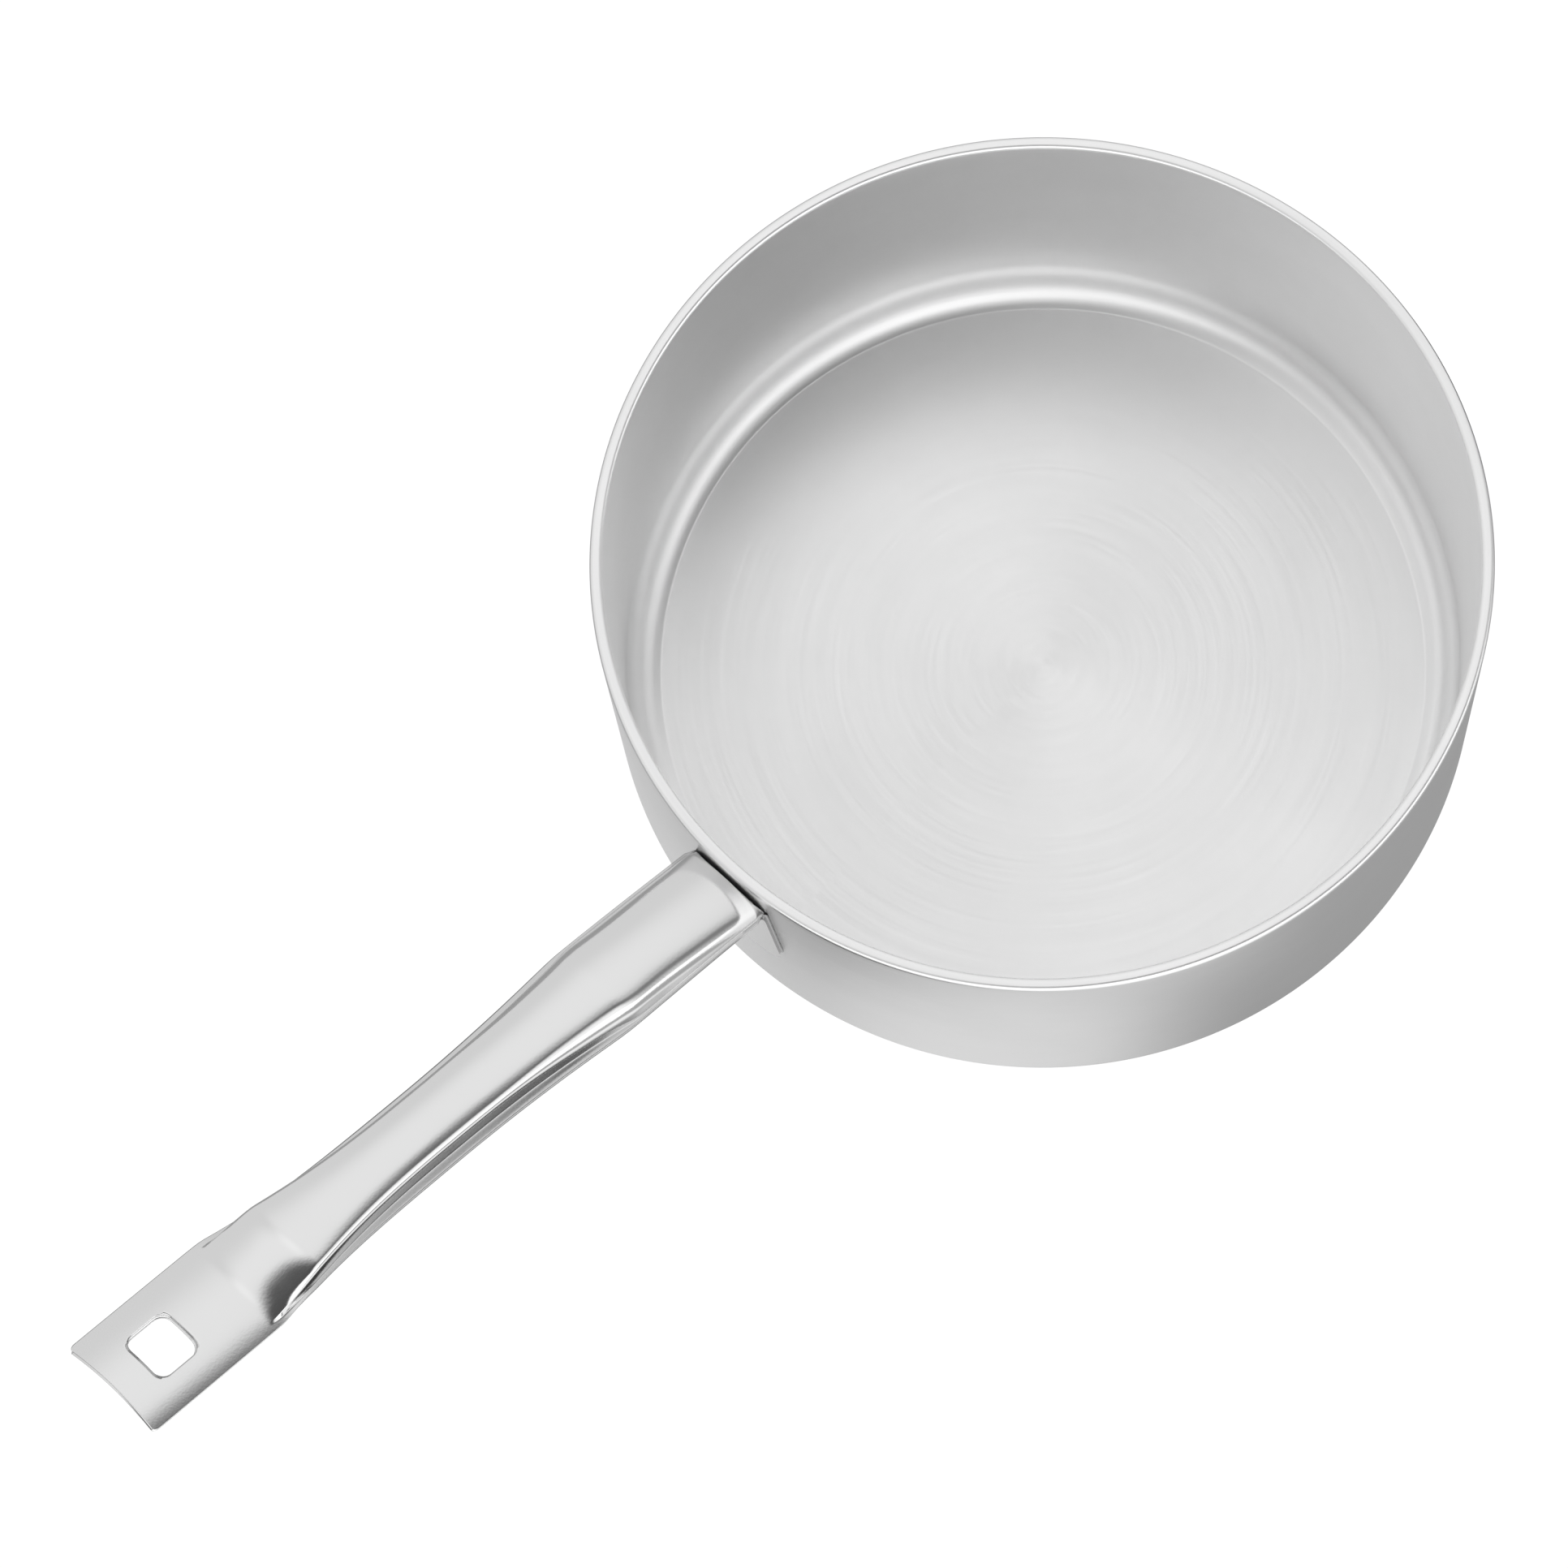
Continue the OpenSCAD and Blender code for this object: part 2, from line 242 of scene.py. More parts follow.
CROWN_W = 18.3 * MM
CROWN_ARCH = 1.8 * MM
ROOT_ARCH = 2.4 * MM
SHOULDER_H = 6.9 * MM
KNUCKLE_SHOULDER_H = 5.4 * MM
WALL_SHOULDER_H = 1.8 * MM
SHOULDER_R = 1.5 * MM
ROOT_SHOULDER_R = 3.6 * MM
SHOULDER_LIMIT_SHARE = 0.8
FLANK = radians(86)
ROOT_FLANK = radians(66)
FOOT_R = 0.15 * MM
FOOT_LIMIT_SHARE = 0.6
LIP_W = 0.65 * MM
LIP_FLARE = radians(3)
LIP_LIMIT_SHARE = 0.8

# The ramp from the plate to the crown starts a little earlier in the middle than at the sides
RISE_FROM = PLATE_FROM + 4.5 * MM
RISE_SHARE = 0.22
RISE_TO = PLATE_FROM - (PLATE_FROM - WAIST_AT) * RISE_SHARE
RISE_LEAD = 0.4 * MM
RISE_DELAY = 0.6 * MM
LEAD_REACH_SHARE = 0.85

FADE_SHARE = 0.2
FADE_FROM = WAIST_AT - (WAIST_AT - KNUCKLE_AT) * FADE_SHARE
FOOT_KNUCKLE_SHARE = 0.92
FOOT_KNUCKLE_AT = KNUCKLE_AT * FOOT_KNUCKLE_SHARE
LEAN_FROM = 72 * MM
LEAN_TO = 32 * MM
BEND_FROM = 2.2 * MM
BEND_LEAD = 0.2 * MM

FLANGE_TOP_W = 25 * MM
FLANGE_LOW_W = 33 * MM
FLANGE_H = 42 * MM
FLANGE_CORNER_R = 6 * MM
SEAT_GAP = 0.1 * MM
SLOT_W = 0.65 * MM
SLOT_H = 9 * MM

HANDLE_TOP_Z = PAN_H - HANDLE_DROP
FLANGE_Z = HANDLE_TOP_Z - FLANGE_H
LINE_Z = HANDLE_TOP_Z - (WALL_SHOULDER_H + ROOT_ARCH - ROOT_DROOP) / cos(SLOPE)

# Columns of the grid in half a section, and how much of the plate's half width each stretch of them takes
ARCH_COLS = 20
SHOULDER_COLS = 14
FLANK_COLS = 8
FOOT_COLS = 6
LIP_COLS = 5
STRETCH_COLS = (ARCH_COLS, SHOULDER_COLS, FLANK_COLS, FOOT_COLS, LIP_COLS)
STRETCH_SHARES = (0.64, 0.2, 0.05, 0.04, 0.07)

# Rows of the grid, from the plate's end to the foot of the flange
END_ROWS = 8
HOLE_END_ROWS = 9
HOLE_ROWS = 16
PLATE_ROWS = 17
RISE_ROWS = 42
GRIP_ROWS = 24
KNUCKLE_ROWS = 32
ROOT_ROWS = 30
BEND_ROWS = 14
FLANGE_ROWS = 12
FLANGE_CORNER_ROWS = 10
EDGE_STEPS = 5

# Painted shade on the lips, as a share of the darkening on the rolled edges
LIP_SHADE = 0.6


def to_plate(l):
    """Share of the way from the waist to the plate."""
    return (l - WAIST_AT) / (PLATE_FROM - WAIST_AT)


def to_knuckle(l, at):
    """Share of the way from the waist to the knuckle's place."""
    return max(0.0, WAIST_AT - l) / (WAIST_AT - at)


def to_root(l):
    """Eased share of the change from the grip's section to the knuckle's."""
    return ease((FADE_FROM - l) / (FADE_FROM - KNUCKLE_AT))


def to_wall(l):
    """Eased share of the flanks' lean outwards, which is full near the wall."""
    return ease((LEAN_FROM - l) / (LEAN_FROM - LEAN_TO))


def edge_half(l):
    """Half the width over the lips."""
    if l >= WAIST_AT:
        side = lerp(WAIST_W, PLATE_W, to_plate(l) ** PLATE_SIDE_POWER)
        return soft_min(PLATE_W, side, 2 * BLEND) / 2
    side = lerp(WAIST_W, KNUCKLE_W, to_knuckle(l, KNUCKLE_AT) ** KNUCKLE_SIDE_POWER)
    return soft_min(lerp(ROOT_W, KNUCKLE_W, l / KNUCKLE_AT), side, 2 * BLEND) / 2


def foot_half(l):
    """Half the width of the crown at the foot of its flanks."""
    if l >= WAIST_AT:
        foot = lerp(CROWN_W / 2, PLATE_W / 2, to_plate(l) ** PLATE_FOOT_POWER)
    else:
        share = to_knuckle(l, FOOT_KNUCKLE_AT) ** KNUCKLE_FOOT_POWER
        foot = lerp(CROWN_W / 2, KNUCKLE_W / 2 - LIP_W, share)
    return soft_min(edge_half(l) - LIP_W, foot, BLEND)


def shoulder_at(l):
    """Height of the corner where the crown's top and flank would meet."""
    if l >= KNUCKLE_AT:
        return lerp(SHOULDER_H, KNUCKLE_SHOULDER_H, to_root(l))
    return lerp(WALL_SHOULDER_H, KNUCKLE_SHOULDER_H, l / KNUCKLE_AT)


def droop(l):
    """How far a section near the wall sinks below the slope's line."""
    return ROOT_DROOP * (max(0.0, KNUCKLE_AT - l) / KNUCKLE_AT) ** 2


def end_corner(l):
    """How far the plate's rounded end corner takes its edge in."""
    d = max(0.0, PLATE_CORNER_R - (HANDLE_L - l))
    return PLATE_CORNER_R - sqrt(PLATE_CORNER_R**2 - d**2)


def column_shares():
    """Where each column lies across half the plate, from the middle to the edge."""
    shares = [0.0]
    for count, share in zip(STRETCH_COLS, STRETCH_SHARES):
        start = shares[-1]
        shares += [start + share * k / count for k in range(1, count + 1)]
    return np.array(shares)


SHARES = column_shares()
MIDDLE_COL = len(SHARES) - 1
# The column that is nearest to the hole's side, counted from the middle
HOLE_COL = int(np.argmin(np.abs(SHARES - HOLE_W / PLATE_W)))


def plate_height(x, l):
    return PLATE_ARCH * (1 - np.minimum(1, np.abs(x) / edge_half(l)) ** PLATE_ARCH_POWER)


def plate_half(l):
    """Half a section of the arched plate."""
    x = (edge_half(l) - end_corner(l)) * SHARES
    return np.stack([x, plate_height(x, l)], -1)


def points_along(curve, points, count):
    """Points along a curve through the given ones, without the first."""
    return [curve(*points, k / count) for k in range(1, count + 1)]


def grip_half(l):
    """Half a section of the grip: arched top, round shoulder, straight flank, small fillet, flared lip."""
    h, foot, edge = shoulder_at(l), foot_half(l), edge_half(l)
    flank = lerp(FLANK, ROOT_FLANK, to_wall(l))
    down = np.array([cos(flank), -sin(flank)])
    flank_l = h / sin(flank)
    shoulder = np.array([foot - h / tan(flank), h])
    shoulder_r = lerp(SHOULDER_R, ROOT_SHOULDER_R, to_root(l))
    shoulder_run = min(shoulder_r * tan(flank / 2), flank_l * SHOULDER_LIMIT_SHARE)
    foot_room = min((edge - foot) * LIP_LIMIT_SHARE, (flank_l - shoulder_run) * FOOT_LIMIT_SHARE)
    foot_run = min(FOOT_R * tan(flank / 2), foot_room)
    foot_point = np.array([foot, 0.0])

    rise = lerp(CROWN_ARCH, ROOT_ARCH, to_root(l))
    arch_x = np.linspace(0, shoulder[0] - shoulder_run, ARCH_COLS + 1)
    arch = np.stack([arch_x, h + rise * (1 - (arch_x / shoulder[0]) ** 2)], -1)
    flank_from = shoulder + shoulder_run * down
    flank_to = foot_point - foot_run * down
    lip_from = foot_point + [foot_run, foot_run * tan(LIP_FLARE)]
    lip_to = np.array([edge, (edge - foot) * tan(LIP_FLARE)])
    stretches = [
        arch,
        points_along(bezier, (arch[-1], shoulder, flank_from), SHOULDER_COLS),
        points_along(lerp, (flank_from, flank_to), FLANK_COLS),
        points_along(bezier, (flank_to, foot_point, lip_from), FOOT_COLS),
        points_along(lerp, (lip_from, lip_to), LIP_COLS),
    ]
    return np.concatenate(stretches) - [0, droop(l)]


def section(l):
    """A whole section: the plate's at the end, the grip's past the ramp, and a mix of both on it."""
    lead = lerp(RISE_LEAD, -RISE_DELAY, ease(SHARES / LEAD_REACH_SHARE))
    rise = ease((RISE_FROM + lead - l) / (RISE_FROM - RISE_TO))[:, None]
    half = lerp(plate_half(l), grip_half(l), rise)
    return np.concatenate([half[:0:-1] * [-1, 1], half])


def place(l, across, height):
    """A point of the handle from its distance along the slope, across it and above the lips' line."""
    x = -(PAN_R + l * cos(SLOPE) - height * sin(SLOPE))
    z = LINE_Z + l * sin(SLOPE) + height * cos(SLOPE)
    return np.stack([x, across, z], -1)


def around_hole(across, along):
    """Draws grid points out or in round the hole's middle, so that one ring of them is its outline."""
    half = HOLE_W / 2
    points = np.stack([across, along], -1)
    way = np.abs(points / np.maximum(np.linalg.norm(points, axis=-1, keepdims=True), TINY))
    flat = half / np.maximum(way.max(-1), TINY)
    inner = half - HOLE_R
    dot = inner * (way[..., 0] + way[..., 1])
    corner = dot + np.sqrt(np.maximum(dot**2 - 2 * inner**2 + HOLE_R**2, 0))
    on_corner = way.min(-1) * flat > inner
    outline = np.where(on_corner, corner, flat)
    out = np.max(np.abs(points) / half, axis=-1)
    factor = lerp(outline / flat, 1.0, ease((out - 1) / (HOLE_REACH_SHARE - 1)))
    return across * factor, along * factor


def fitted_to_hole(across, l):
    """A row of the plate with two columns along the hole's sides, bent round the hole where it is near."""
    column, half = SHARES[HOLE_COL], HOLE_W / 2
    edge_share = (across / edge_half(l)) ** 2
    to_edge = np.clip((edge_share - column**2) / (1 - column**2), 0, 1)
    scale = lerp(half / (column * edge_half(l)), 1, to_edge)
    from_hole = np.full(len(across), l - HOLE_MIDDLE)
    x, y = around_hole(across * scale, from_hole)
    away = ease((abs(l - HOLE_MIDDLE) - half) / (HOLE_AT - EDGE_R - half))
    return lerp(x, across, away), lerp(y + HOLE_MIDDLE, l, away)


def handle_row(l):
    across, height = section(l).T
    along = np.full(len(across), l)
    if l > RISE_FROM:
        across, along = fitted_to_hole(across, l)
        height = plate_height(across, l)
    return place(along, across, height)


def on_wall(y, z):
    """Points beside the wall: a thin gap off it, and further off in the slot at the flange's top."""
    gap = SEAT_GAP + SLOT_W * ease((z - (HANDLE_TOP_Z - SLOT_H)) / SLOT_H)
    return np.stack([-(np.sqrt(wall_r(z) ** 2 - y**2) + gap), y, z], -1)


def flange_half(z):
    """Half the flange's width at a height."""
    side = lerp(FLANGE_TOP_W, FLANGE_LOW_W, (HANDLE_TOP_Z - z) / (FLANGE_H - FLANGE_CORNER_R)) / 2
    d = np.maximum(0, FLANGE_Z + FLANGE_CORNER_R - z)
    corner = FLANGE_CORNER_R - np.sqrt(np.maximum(0, FLANGE_CORNER_R**2 - d**2))
    return np.minimum(FLANGE_LOW_W / 2, side) - corner


def handle_stations():
    """Distances of the rows from the wall, from the end to the bend, and the rows at the hole's ends."""
    corner = PLATE_CORNER_R - EDGE_R
    rows = [HANDLE_L - EDGE_R - corner * (1 - cos(t)) for t in np.linspace(0, pi / 2, END_ROWS + 1)]
    rows += stretch(rows[-1], HOLE_MIDDLE + HOLE_W / 2, HOLE_END_ROWS)
    hole_from = len(rows) - 1
    rows += stretch(rows[-1], HOLE_MIDDLE - HOLE_W / 2, HOLE_ROWS)
    hole_to = len(rows) - 1
    for end, count in (
        (RISE_FROM, PLATE_ROWS),
        (RISE_TO, RISE_ROWS),
        (FADE_FROM, GRIP_ROWS),
        (KNUCKLE_AT, KNUCKLE_ROWS),
        (BEND_FROM + BEND_LEAD, ROOT_ROWS),
    ):
        rows += stretch(rows[-1], end, count)
    rows.append(BEND_FROM)
    return rows, (hole_from, hole_to)


def bend_and_flange(straight):
    """Rows that go on from the last straight one, round the bend and down the wall."""
    share = straight[:, 1] / straight[-1, 1]
    corner_y = share * FLANGE_TOP_W / 2
    corner_x = on_wall(corner_y, np.full(len(share), HANDLE_TOP_Z))[:, 0]
    length = corner_x - straight[:, 0]
    corner = np.stack([corner_x, corner_y, straight[:, 2] - length * tan(SLOPE)], -1)
    bend_z = corner[:, 2] - length / cos(SLOPE)
    bent = on_wall(share * flange_half(bend_z), bend_z)
    rows = [bezier(straight, corner, bent, t) for t in stretch(0, 1, BEND_ROWS)]
    for t in stretch(0, 1, FLANGE_ROWS):
        z = lerp(bend_z, FLANGE_Z + FLANGE_CORNER_R, t)
        rows.append(on_wall(share * flange_half(z), z))
    for t in stretch(0, pi / 2, FLANGE_CORNER_ROWS):
        z = np.full(len(share), FLANGE_Z + EDGE_R + (FLANGE_CORNER_R - EDGE_R) * (1 - sin(t)))
        rows.append(on_wall(share * flange_half(z - EDGE_R * sin(t)), z))
    return rows


def grid_normals(grid):
    along = np.gradient(grid, axis=0)
    across = np.gradient(grid, axis=1)
    return unit(np.cross(along, across))


def cells(n_rows, n_cols, hole_rows, hole_cols):
    """The grid's cells, apart from those in the hole."""
    return [
        (i, j)
        for i in range(n_rows - 1)
        for j in range(n_cols - 1)
        if not (hole_rows[0] <= i < hole_rows[1] and hole_cols[0] <= j < hole_cols[1])
    ]


def loop_round(first_row, last_row, first_col, last_col):
    """The grid points round a block of cells, once round from its first corner."""
    loop = [(first_row, j) for j in range(first_col, last_col)]
    loop += [(i, last_col) for i in range(first_row, last_row)]
    loop += [(last_row, j) for j in range(last_col, first_col, -1)]
    loop += [(i, first_col) for i in range(last_row, first_row, -1)]
    return loop


def edge_rings(points, normals, way):
    """Rings of points that roll round the sheet's edge, from the upper face to the lower one."""
    ahead = np.roll(points, -1, axis=0) - np.roll(points, 1, axis=0)
    out = unit(np.cross(ahead, normals)) * way
    rings = []
    for t in stretch(0, pi / 2, EDGE_STEPS):
        rings.append(points + out * EDGE_R * sin(t) - normals * EDGE_R * (1 - cos(t)))
    for t in np.linspace(pi / 2, pi, EDGE_STEPS + 1)[:-1]:
        rings.append(points + out * EDGE_R * sin(t) - normals * (SHEET_T - EDGE_R * (1 + cos(t))))
    return rings


def make_handle(material):
    """The sheet: an upper and a lower face from one grid, with rolled edges outside and in the hole.

    The attribute lip holds painted shade: how much a point is darkened, most on the rolled edges, less on
    the lips.
    """
    stations, hole_rows = handle_stations()
    hole_cols = (MIDDLE_COL - HOLE_COL, MIDDLE_COL + HOLE_COL)
    straight = [handle_row(l) for l in stations]
    grid = np.array(straight + bend_and_flange(straight[-1]))
    normals = grid_normals(grid)
    n_rows, n_cols = grid.shape[:2]
    count = n_rows * n_cols
    top = np.arange(count).reshape(n_rows, n_cols).tolist()
    low = np.arange(count, 2 * count).reshape(n_rows, n_cols).tolist()
    vertices = list(grid.reshape(-1, 3)) + list((grid - normals * SHEET_T).reshape(-1, 3))
    faces = []
    for i, j in cells(n_rows, n_cols, hole_rows, hole_cols):
        faces.append((top[i][j], top[i + 1][j], top[i + 1][j + 1], top[i][j + 1]))
        faces.append((low[i][j], low[i][j + 1], low[i + 1][j + 1], low[i + 1][j]))

    # Painted shade for the attribute lip: full on the rolled edges past the ramp, less on the lips, none
    # on the crown's top or the lower face
    past_ramp = np.ones(n_rows)
    past_ramp[: len(stations)] = ease((RISE_FROM - np.array(stations)) / (RISE_FROM - RISE_TO))
    foot_from = MIDDLE_COL - LIP_COLS - FOOT_COLS
    on_lip = LIP_SHADE * ease((np.arange(MIDDLE_COL + 1) - foot_from) / FOOT_COLS)
    top_shade = np.outer(past_ramp, np.concatenate([on_lip[:0:-1], on_lip]))
    edge_shade = []

    outline = loop_round(0, n_rows - 1, 0, n_cols - 1)
    hole = loop_round(*hole_rows, *hole_cols)
    for loop, way in ((outline, 1), (hole, -1)):
        rows, cols = np.array(loop).T
        rings = [[top[i][j] for i, j in loop]]
        for points in edge_rings(grid[rows, cols], normals[rows, cols], way):
            rings.append(list(range(len(vertices), len(vertices) + len(loop))))
            vertices += list(points)
            edge_shade.append(past_ramp[rows])
        rings.append([low[i][j] for i, j in loop])
        faces += band_faces(rings, way)

    handle = new_object("handle_shell", vertices, faces, material)
    shade_layer = handle.data.attributes.new("lip", "FLOAT", "POINT")
    shade_layer.data.foreach_set("value", np.concatenate([top_shade.ravel(), np.zeros(count), *edge_shade]))
    drop_loose_points(handle.data)
    return handle


# Node trees

WHITE = (1.0, 1.0, 1.0, 1.0)
UNIT_SPAN = (0.0, 1.0)


class Nodes:
    """Shorthand for the node tree of a material or of the world."""

    def __init__(self, owner):
        owner.use_nodes = True
        self.tree = owner.node_tree
        self.tree.nodes.clear()

    def add(self, kind, inputs=None, **settings):
        node = self.tree.nodes.new(kind)
        for key, value in settings.items():
            setattr(node, key, value)
        for key, value in (inputs or {}).items():
            if isinstance(value, bpy.types.NodeSocket):
                self.tree.links.new(value, node.inputs[key])
            else:
                node.inputs[key].default_value = value
        return node

    def math(self, operation, *values):
        return self.add("ShaderNodeMath", dict(enumerate(values)), operation=operation).outputs[0]

    def product(self, first, *others):
        for other in others:
            first = self.math("MULTIPLY", first, other)
        return first

    def total(self, first, *others):
        for other in others:
            first = self.math("ADD", first, other)
        return first

    def vector(self, operation, *values):
        node = self.add("ShaderNodeVectorMath", dict(enumerate(values)), operation=operation)
        return node.outputs["Value"]

    def carry(self, value, span, to=UNIT_SPAN, kind="LINEAR"):
        """Carries a value from one span to another and holds it at both ends."""
        inputs = {
            "Value": value,
            "From Min": span[0],
            "From Max": span[1],
            "To Min": to[0],
            "To Max": to[1],
        }
        return self.add("ShaderNodeMapRange", inputs, interpolation_type=kind).outputs[0]

    def fade(self, value, span, to=UNIT_SPAN):
        """Carries a value as carry does, with a smooth start and end."""
        return self.carry(value, span, to, kind="SMOOTHSTEP")

    def noise(self, spot, scale, detail, roughness):
        inputs = {"Vector": spot, "Scale": scale, "Detail": detail, "Roughness": roughness}
        return self.add("ShaderNodeTexNoise", inputs).outputs[0]

    def bump(self, height, strength, distance):
        inputs = {"Height": height, "Strength": strength, "Distance": distance}
        return self.add("ShaderNodeBump", inputs).outputs[0]

    def grey(self, value):
        return self.add("ShaderNodeCombineColor", {0: value, 1: value, 2: value}).outputs[0]


# Materials

# Noise seldom leaves this span
NOISE_SPAN = (0.3, 0.7)

# Rings of the lathe to the metre, and how often one changes along a radian of its turn
RING_PITCH = 900.0
RING_TURN_PITCH = 1.2
RING_DEPTH = 0.06 * MM
ALUMINIUM_GREYS = (0.90, 0.94)
ALUMINIUM_ROUGHNESS = (0.35, 0.41)
# Painted highlight: the heights over which the rim's top is made lighter, and how much lighter
RIM_SPAN = (PAN_H - 1.6 * MM, PAN_H - 0.8 * MM)
RIM_HIGHLIGHT = 0.05

GRAIN_DEPTH = 0.04 * MM
STEEL_ROUGHNESS = (0.11, 0.16)
STEEL_GREY = 0.82
# Painted shade: the grey that the lips and rolled edges are darkened towards
SHADED_GREY = 0.48


def aluminium():
    """Satin aluminium from the lathe: fine rings round the pan's axis, faint clouds, and a painted
    highlight that makes the top of the rim lighter.
    """
    material = bpy.data.materials.new("satin_aluminium")
    n = Nodes(material)
    spot = n.add("ShaderNodeTexCoord").outputs["Object"]
    x, y, z = n.add("ShaderNodeSeparateXYZ", {0: spot}).outputs
    radius = n.math("SQRT", n.total(n.product(x, x), n.product(y, y)))
    turn = n.math("ARCTAN2", y, x)
    unrolled = {
        0: n.product(radius, RING_PITCH),
        1: n.product(z, RING_PITCH),
        2: n.product(turn, RING_TURN_PITCH),
    }
    ring_spot = n.add("ShaderNodeCombineXYZ", unrolled).outputs[0]
    rings = n.noise(ring_spot, scale=1.0, detail=3.0, roughness=0.6)
    clouds = n.noise(spot, scale=22.0, detail=4.0, roughness=0.55)
    # painted highlight on the rim's top
    rim = n.carry(z, RIM_SPAN, (0.0, RIM_HIGHLIGHT))
    inputs = {
        "Base Color": n.grey(n.total(n.carry(clouds, NOISE_SPAN, ALUMINIUM_GREYS), rim)),
        "Roughness": n.carry(rings, NOISE_SPAN, ALUMINIUM_ROUGHNESS),
        "Normal": n.bump(rings, strength=0.12, distance=RING_DEPTH),
        "Metallic": 1.0,
        "Anisotropic": 0.35,
        "Tangent": n.add("ShaderNodeTangent", direction_type="RADIAL", axis="Z").outputs[0],
    }
    shader = n.add("ShaderNodeBsdfPrincipled", inputs)
    n.add("ShaderNodeOutputMaterial", {"Surface": shader.outputs[0]})
    return material


def steel():
    """Polished stainless sheet: clear reflections, a fine grain, and painted shade that darkens the lips
    and the rolled edges.
    """
    material = bpy.data.materials.new("tumbled_steel")
    n = Nodes(material)
    spot = n.add("ShaderNodeTexCoord").outputs["Object"]
    grain = n.noise(spot, scale=1500.0, detail=2.0, roughness=0.6)
    clouds = n.noise(spot, scale=60.0, detail=3.0, roughness=0.5)
    # painted shade: the base colour darkens where the attribute lip is high
    lip_and_edge_shade = n.add("ShaderNodeAttribute", attribute_name="lip").outputs["Fac"]
    inputs = {
        "Base Color": n.grey(n.carry(lip_and_edge_shade, UNIT_SPAN, (STEEL_GREY, SHADED_GREY))),
        "Roughness": n.carry(clouds, NOISE_SPAN, STEEL_ROUGHNESS),
        "Normal": n.bump(grain, strength=0.2, distance=GRAIN_DEPTH),
        "Metallic": 1.0,
    }
    shader = n.add("ShaderNodeBsdfPrincipled", inputs)
    n.add("ShaderNodeOutputMaterial", {"Surface": shader.outputs[0]})
    return material


# Floor, which glows to the eye and, in some places, to the metal

FLOOR_HALF = 6.0
FLOOR_DROP = 0.2 * MM
FLOOR_GREY = 0.65
GLOW = 1.1
GLOW_TO_EYE = 0.9

# What the metal mirrors: a painted glow round the pan, brightest in front of the wall that the camera sees
AROUND_SPAN = (150 * MM, 220 * MM)
FRONT_AT = (-115 * MM, -80 * MM, 0.0)
FRONT_SPAN = (15 * MM, 100 * MM)
FRONT_GLOWS = (0.69, 0.42)
PAST_FRONT_SPAN = (-90 * MM, -40 * MM)
PAST_FRONT_SHARES = (1.0, 0.7)
# Painted shadow: the glow fades out on the floor below the handle
BELOW_HANDLE_SPAN = (-140 * MM, -175 * MM)

# A painted pool of light on the near side, weaker beside the pan than below the handle
POOL_SPAN = (-80 * MM, -200 * MM)
POOL_GLOW = 0.95
POOL_SIDE_SPAN = (-90 * MM, 0.0)
POOL_SIDE_SHARES = (1.0, 0.4)

# Painted shade on the floor that only the metal sees, darkest on the near side and lighter on the far side
MIRRORED_SPAN = (-30 * MM, 20 * MM)
MIRRORED_SHADE_GREYS = (0.06, 0.5)


def floor_material():
    """White to the eye, grey to the light so that it takes a shadow, and with painted glow and painted
    shade that only the metal sees.
    """
    material = bpy.data.materials.new("studio_floor")
    n = Nodes(material)
    path = n.add("ShaderNodeLightPath").outputs
    mirrored = n.math("MAXIMUM", path["Is Glossy Ray"], path["Is Transmission Ray"])
    spot = n.add("ShaderNodeTexCoord").outputs["Object"]
    x, y = n.add("ShaderNodeSeparateXYZ", {0: spot}).outputs[:2]

    # Painted glow and painted shadow on the floor that only the metal sees
    around = n.math("SUBTRACT", 1.0, n.fade(n.vector("LENGTH", spot), AROUND_SPAN))
    front = n.fade(n.vector("DISTANCE", spot, FRONT_AT), FRONT_SPAN, FRONT_GLOWS)
    past_front = n.fade(x, PAST_FRONT_SPAN, PAST_FRONT_SHARES)
    below_handle = n.fade(x, BELOW_HANDLE_SPAN, (1.0, 0.0))
    near = n.product(around, front, past_front, below_handle)
    pool = n.product(n.fade(y, POOL_SPAN, (0.0, POOL_GLOW)), n.fade(x, POOL_SIDE_SPAN, POOL_SIDE_SHARES))

    to_eye = n.product(path["Is Camera Ray"], GLOW_TO_EYE)
    to_metal = n.product(mirrored, n.math("MAXIMUM", near, pool))
    # The floor's grey for the light, and painted shade in its place for mirrored rays
    floor_grey_and_mirrored_shade = n.carry(mirrored, UNIT_SPAN, (FLOOR_GREY, n.fade(y, MIRRORED_SPAN, MIRRORED_SHADE_GREYS)))
    diffuse = n.add("ShaderNodeBsdfDiffuse", {"Color": n.grey(floor_grey_and_mirrored_shade)})
    glow = n.add("ShaderNodeEmission", {"Color": WHITE, "Strength": GLOW})
    share = n.math("MAXIMUM", to_eye, to_metal)
    mix = n.add("ShaderNodeMixShader", {0: share, 1: diffuse.outputs[0], 2: glow.outputs[0]})
    n.add("ShaderNodeOutputMaterial", {"Surface": mix.outputs[0]})
    return material


def make_floor():
    corners = [(-1, -1), (1, -1), (1, 1), (-1, 1)]
    vertices = [(x * FLOOR_HALF, y * FLOOR_HALF, 0) for x, y in corners]
    floor = new_object("floor", vertices, [(0, 1, 2, 3)], floor_material())
    floor.location.z = -FLOOR_DROP


# World: directions are unit vectors, and a light's span is the cosine of the angle from its middle


def direction(azimuth, elevation):
    a, e = radians(azimuth), radians(elevation)
    return Vector((cos(e) * cos(a), cos(e) * sin(a), sin(e)))


def cone(outer, inner):
    """The span of a soft light that starts at one angle from its middle and is full at another."""
    return cos(radians(outer)), cos(radians(inner))


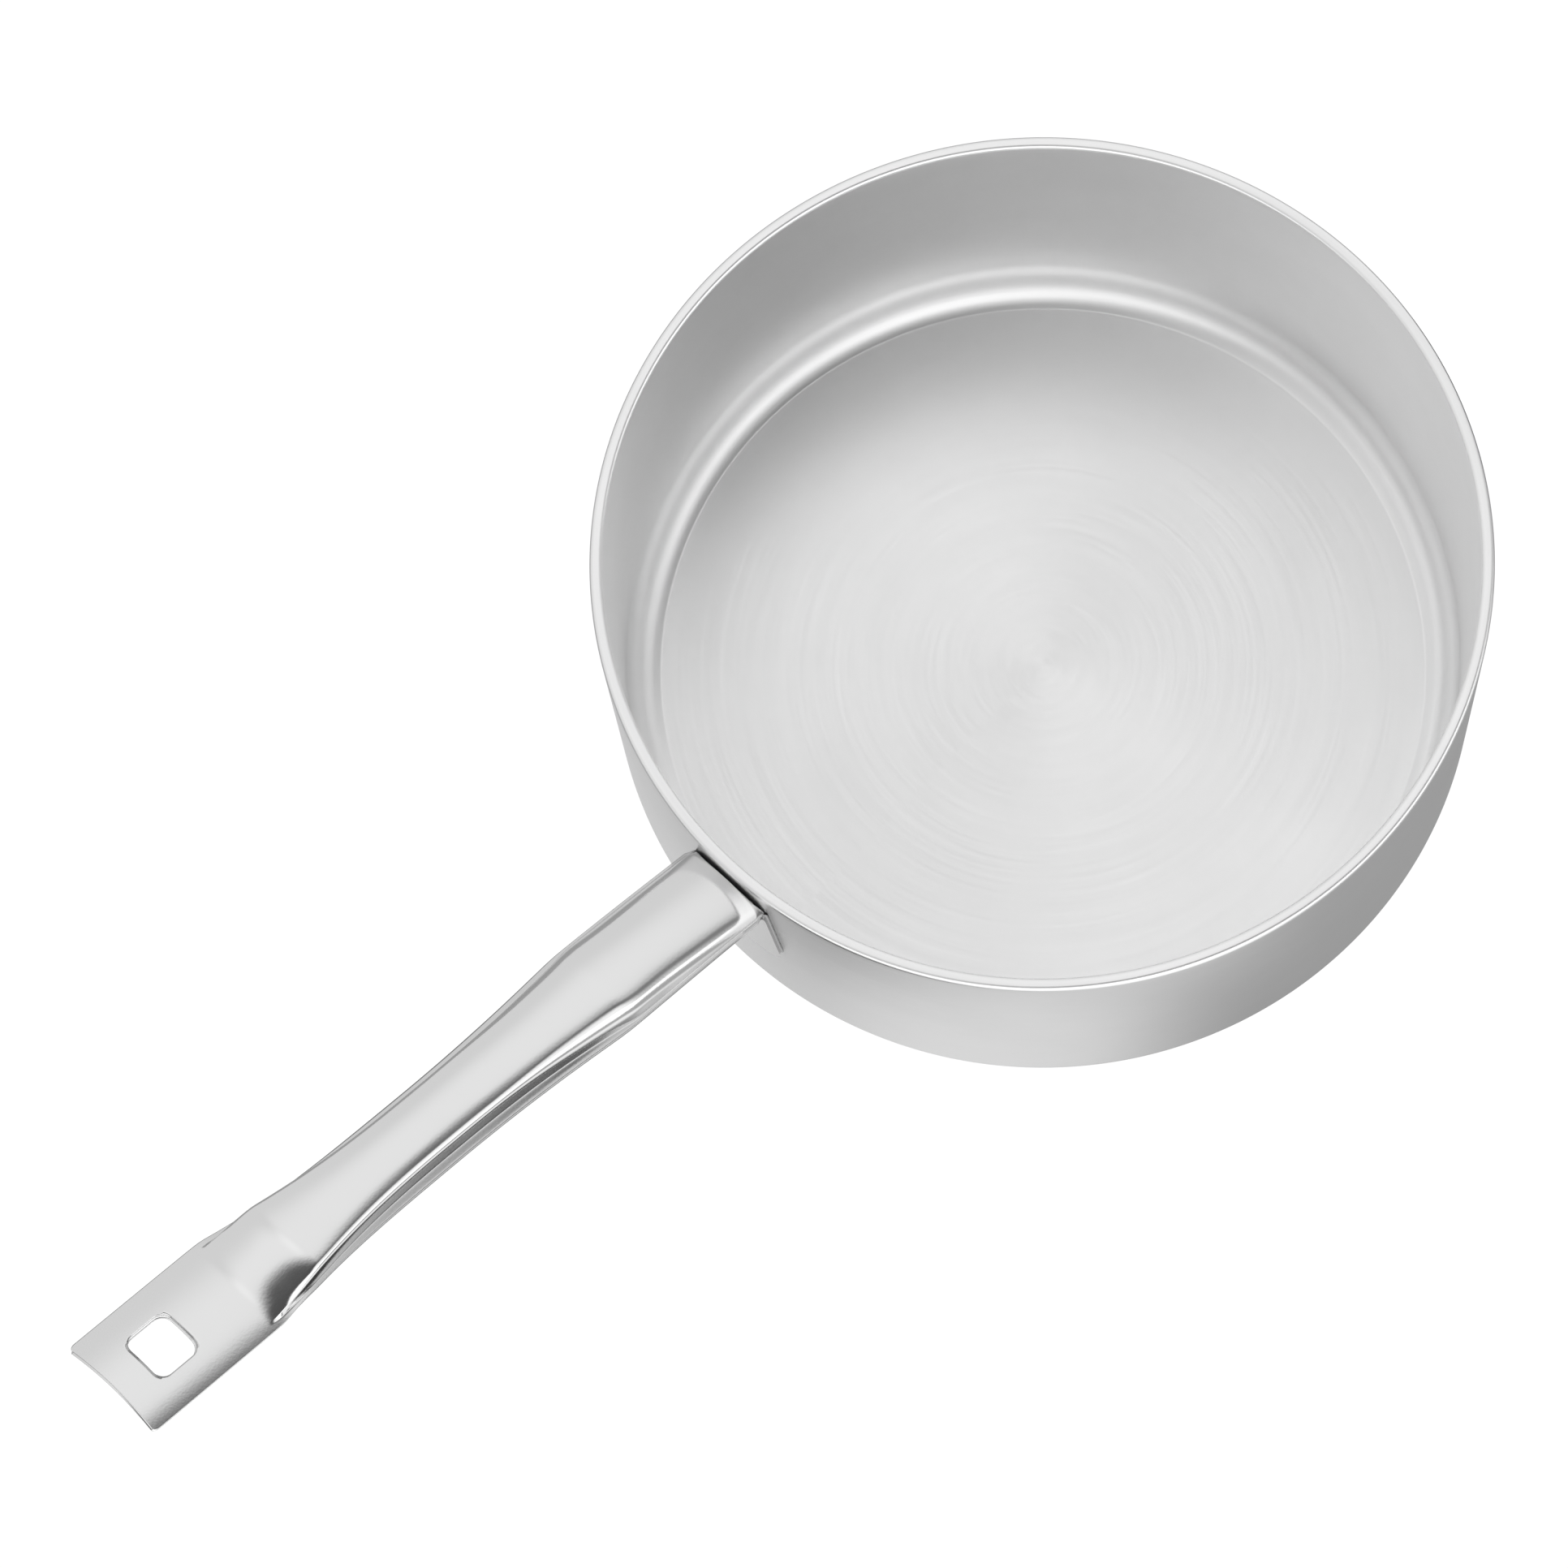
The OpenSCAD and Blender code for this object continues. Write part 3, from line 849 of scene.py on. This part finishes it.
# A large soft light on the far side, and a little more straight above
KEY_AT = direction(8, 42)
KEY_SPAN = cone(34, 4)
KEY_LIGHTS = (0.76, 0.93)
TOP_SPAN = (0.75, 0.95)
TOP_LIGHT = 0.18

# A dark part of the room over the near side, deepest high up and ahead of the handle
NEAR_AT = Vector((-0.256, -0.963, -0.12)).normalized()
NEAR_SPAN = (-0.13, 0.05)
LOW_AT = Vector((-0.404, -0.733, -0.546)).normalized()
LOW_SPAN = (0.13, 0.03)
DEPTH_SPAN = (0.25, 0.85)
DEPTHS = (0.72, 0.97)
AHEAD_AT = Vector((0.77, -0.64, 0.0)).normalized()
AHEAD_SPAN = (-0.2, 0.1)
AHEAD_DEPTHS = (0.62, 0.93)

# A small side light in the dark part, and a bright strip low down on the near side
SIDE_AT = direction(-52, 27)
SIDE_SPAN = cone(22, 8)
SIDE_LIGHT = 0.35
STRIP_SPAN = (0.06, 0.18)
STRIP_LIGHT = 0.6


def make_world():
    """A white studio, lit softly from the far side, with a dark part over the near side."""
    world = bpy.data.worlds.new("studio")
    bpy.context.scene.world = world
    n = Nodes(world)
    look = n.add("ShaderNodeTexCoord").outputs["Generated"]
    height = n.add("ShaderNodeSeparateXYZ", {0: look}).outputs[2]

    def towards(way):
        return n.vector("DOT_PRODUCT", look, way)

    low = towards(LOW_AT)
    side = n.fade(towards(SIDE_AT), SIDE_SPAN)
    dark = n.product(
        n.fade(towards(NEAR_AT), NEAR_SPAN),
        n.fade(low, LOW_SPAN),
        n.fade(height, DEPTH_SPAN, DEPTHS),
        n.fade(towards(AHEAD_AT), AHEAD_SPAN, AHEAD_DEPTHS),
        n.math("SUBTRACT", 1.0, side),
    )
    key = n.fade(towards(KEY_AT), KEY_SPAN, KEY_LIGHTS)
    lit = n.total(key, n.fade(height, TOP_SPAN, (0.0, TOP_LIGHT)))
    studio = n.total(
        n.product(lit, n.math("SUBTRACT", 1.0, dark)),
        n.fade(low, STRIP_SPAN, (0.0, STRIP_LIGHT)),
        n.product(side, SIDE_LIGHT),
    )
    to_eye = n.add("ShaderNodeLightPath").outputs["Is Camera Ray"]
    inputs = {"Color": WHITE, "Strength": n.math("MAXIMUM", studio, to_eye)}
    background = n.add("ShaderNodeBackground", inputs)
    n.add("ShaderNodeOutputWorld", {"Surface": background.outputs[0]})


# Camera, fitted to the rim, the wall and the base in the photograph

CAMERA_AT = Vector((-412.8, -397.3, 1722.6)) * MM
CAMERA_AIM = Vector((-92.55, 5.65, 97.0)) * MM
CAMERA_ROLL = radians(-8.114)
CAMERA_LENS_MM = 149.07
SENSOR_W_MM = 36
VIEW_DEPTH = 50


def make_camera():
    """The photograph's viewpoint: about 70 degrees above the horizon, with the pan right of the middle."""
    camera = bpy.data.objects.new("camera", bpy.data.cameras.new("camera"))
    bpy.context.scene.collection.objects.link(camera)
    bpy.context.scene.camera = camera
    camera.data.sensor_width = SENSOR_W_MM
    camera.data.lens = CAMERA_LENS_MM
    camera.data.clip_end = VIEW_DEPTH
    camera.location = CAMERA_AT
    camera.rotation_mode = "QUATERNION"
    turn = (CAMERA_AIM - CAMERA_AT).to_track_quat("-Z", "Y")
    camera.rotation_quaternion = turn @ Quaternion((0, 0, 1), CAMERA_ROLL)


def main():
    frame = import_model()
    bpy.context.scene.view_settings.view_transform = "Standard"
    metal = aluminium()

    pan = make_pan(metal)
    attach(pan, "root")
    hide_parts("pan_body")

    handle = make_handle(steel())
    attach(handle, "root")
    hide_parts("handle")

    for name in ("rivet_upper_left", "rivet_upper_right", "rivet_lower"):
        frame["nodes"][name].material_slots[0].material = metal

    make_floor()
    make_world()
    make_camera()


main()
